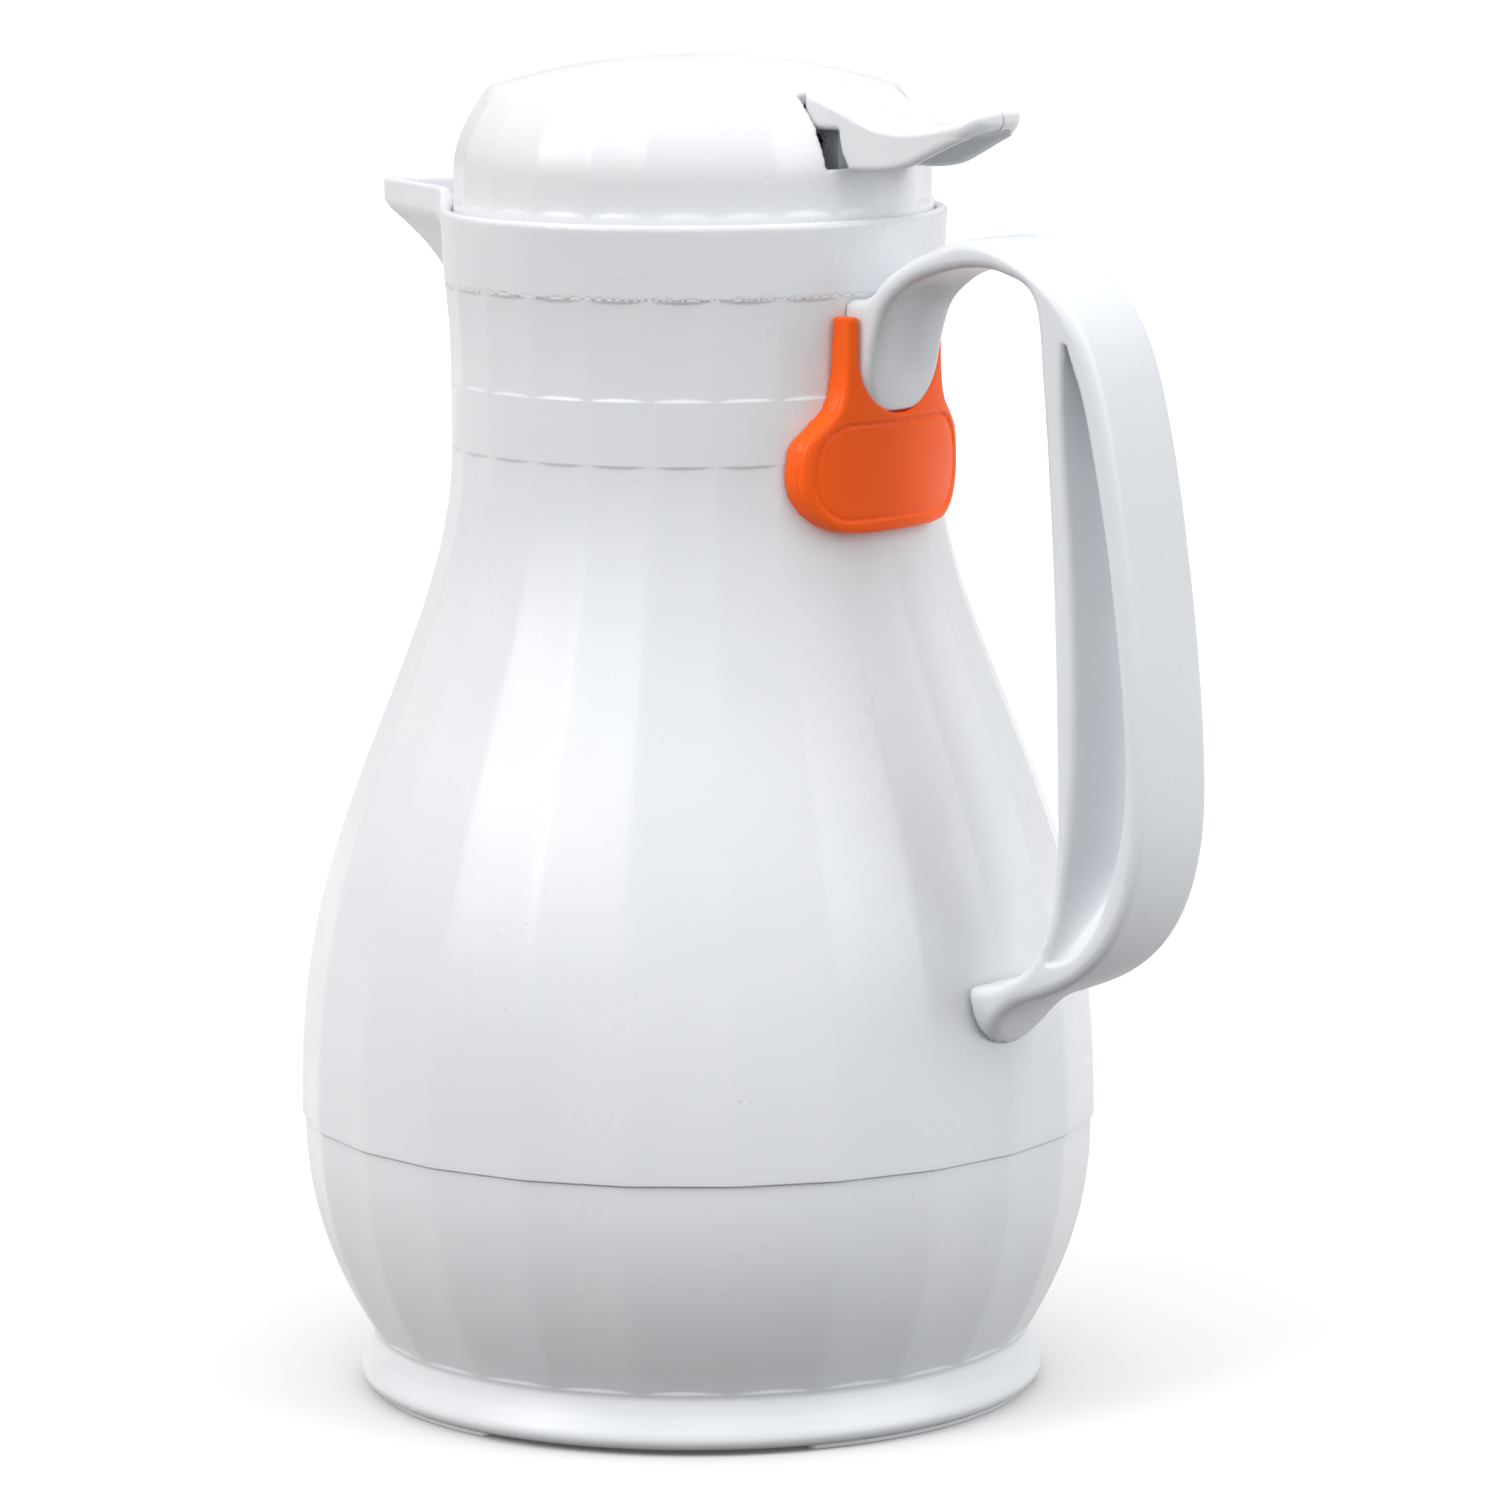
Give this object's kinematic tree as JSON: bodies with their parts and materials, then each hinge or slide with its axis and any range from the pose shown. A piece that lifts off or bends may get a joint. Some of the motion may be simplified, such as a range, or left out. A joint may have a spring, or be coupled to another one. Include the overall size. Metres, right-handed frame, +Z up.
{
  "type": "insulated beverage server",
  "caption": "Faceted white insulated pouring server with a beak spout, strap handle, clip-on orange tag and thumb-lever lid.",
  "frame": {"origin": "centre of the underside of the foot, on the table", "axes": "+Z up, +X towards the handle, -X towards the spout"},
  "size_m": [0.2262, 0.18, 0.3],
  "materials": {
    "white_body": "glossy moulded white, fine orange-peel skin",
    "white_handle": "glossy moulded white with a faint parting line",
    "white_lid": "glossy moulded white",
    "orange_tag": "satin moulded orange",
    "base_grey": "satin moulded pale grey",
    "liner_plastic": "smooth pale grey",
    "stopper_plastic": "satin moulded pale grey",
    "foam": "rigid insulating foam, cream",
    "seal_rubber": "soft grey rubber",
    "steel": "plain bright steel"
  },
  "bodies": {
    "jug": {"outer_jacket": "white_body", "base_shell": "white_body", "bottom_plate": "base_grey", "base_disc": "base_grey", "base_screw_1": "steel", "base_screw_2": "steel", "base_screw_3": "steel", "liner": "liner_plastic", "liner_cushion": "seal_rubber", "foam_bowl": "foam", "foam_sleeve": "foam", "collar_seal": "seal_rubber", "pour_collar": "white_body", "strap_handle": "white_handle", "handle_screw_upper": "steel", "handle_screw_lower": "steel"},
    "tag": {"id_tag": "orange_tag"},
    "lid_gasket": {"stopper_gasket": "seal_rubber"},
    "lid": {"lid_cap": "white_lid", "stopper_body": "stopper_plastic", "lever_pin": "steel", "valve_spring": "steel"},
    "lever": {"thumb_lever": "white_lid"},
    "valve": {"valve_stem": "stopper_plastic", "valve_seal": "seal_rubber"}
  },
  "joints": [
    {"name": "tag_slide", "type": "slide", "parent": "jug", "child": "tag", "axis": [0, 0, -1], "range_m": [0, 0.006]},
    {"name": "lid_lift", "type": "slide", "parent": "jug", "child": "lid_gasket", "axis": [0, 0, 1], "range_m": [0, 0.06]},
    {"name": "lid_turn", "type": "hinge", "parent": "lid_gasket", "child": "lid", "pos_m": [0, 0, 0.25], "axis": [0, 0, 1], "range_deg": [0, 90]},
    {"name": "lever_press", "type": "hinge", "parent": "lid", "child": "lever", "pos_m": [0.044, 0, 0.283], "axis": [0, 1, 0], "range_deg": [0, 8], "stiffness_Nm_per_rad": 1.5},
    {"name": "valve_lift", "type": "slide", "parent": "lid", "child": "valve", "axis": [0, 0, 1], "range_m": [0, 0.0065], "deforming": ["valve_spring"]}
  ],
  "couplings": [
    {"joint": "valve_lift", "follows": "lever_press", "m_per_rad": 0.044}
  ]
}
